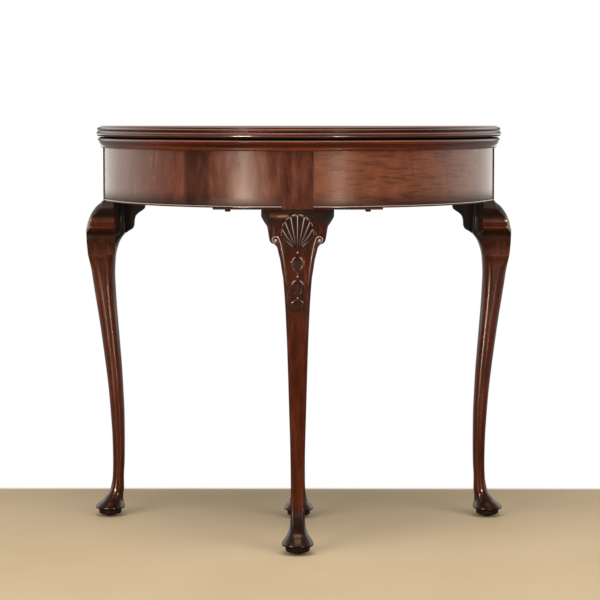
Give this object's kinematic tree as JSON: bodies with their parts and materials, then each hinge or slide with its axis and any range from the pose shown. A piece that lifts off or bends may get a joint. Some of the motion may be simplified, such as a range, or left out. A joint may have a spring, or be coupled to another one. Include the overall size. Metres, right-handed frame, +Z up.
{
  "type": "demi-lune card table",
  "caption": "Half-round card table on carved cabriole legs with pad feet; its hinged flap unfolds to a full circle and the rear leg slides out on a carriage to carry it.",
  "frame": {"origin": "on the floor under the middle of the table's box, closed", "axes": "+Z up, -Y to the round front, +X to the sitter's right when looking at the round front"},
  "size_m": [0.8066, 0.406, 0.75],
  "materials": {
    "mahogany": "french-polished solid mahogany",
    "mahogany_veneer": "french-polished mahogany veneer",
    "beech": "planed and unpolished, darkened with age",
    "baize": "napped wool",
    "brass": "dull brass",
    "steel": "darkened steel"
  },
  "bodies": {
    "frame": {"lower_leaf": "mahogany", "lower_baize": "baize", "apron_left": "mahogany_veneer", "apron_right": "mahogany_veneer", "apron_bead_left": "mahogany", "apron_bead_right": "mahogany", "front_leg": "mahogany", "left_leg": "mahogany", "right_leg": "mahogany", "front_ear_left": "mahogany", "front_ear_right": "mahogany", "left_ear_front": "mahogany", "left_ear_inner": "mahogany", "right_ear_front": "mahogany", "right_ear_inner": "mahogany", "front_glide": "steel", "left_glide": "steel", "right_glide": "steel", "back_rail_left": "beech", "back_rail_right": "beech", "guide_left": "beech", "guide_right": "beech", "slide_bed": "beech", "tie_rail": "beech", "front_keeper": "beech", "hinge_plate_lower_left": "brass", "hinge_plate_lower_right": "brass", "hinge_pin_left": "brass", "hinge_pin_right": "brass", "hinge_screw_lower_left_a": "brass", "hinge_screw_lower_left_b": "brass", "hinge_screw_lower_right_a": "brass", "hinge_screw_lower_right_b": "brass", "glue_block_1": "beech", "glue_block_2": "beech", "glue_block_3": "beech", "glue_block_4": "beech", "top_button_1": "beech", "top_button_2": "beech", "top_button_3": "beech", "top_button_4": "beech"},
    "flap": {"upper_leaf": "mahogany", "upper_baize": "baize", "hinge_plate_upper_left": "brass", "hinge_plate_upper_right": "brass", "hinge_screw_upper_left_a": "brass", "hinge_screw_upper_left_b": "brass", "hinge_screw_upper_right_a": "brass", "hinge_screw_upper_right_b": "brass"},
    "carriage": {"carriage_tail_rail": "beech", "runner_left": "beech", "runner_right": "beech", "carriage_front_tie": "beech", "stop_peg_left": "mahogany", "stop_peg_right": "mahogany", "rear_leg": "mahogany", "rear_ear_left": "mahogany", "rear_ear_right": "mahogany", "rear_glide": "steel"}
  },
  "joints": [
    {"name": "flap_fold", "type": "hinge", "parent": "frame", "child": "flap", "pos_m": [0, 0.20035, 0.73], "axis": [-1, 0, 0], "range_deg": [0, 180]},
    {"name": "rear_leg_slide", "type": "slide", "parent": "frame", "child": "carriage", "axis": [0, 1, 0], "range_m": [0, 0.19]}
  ]
}
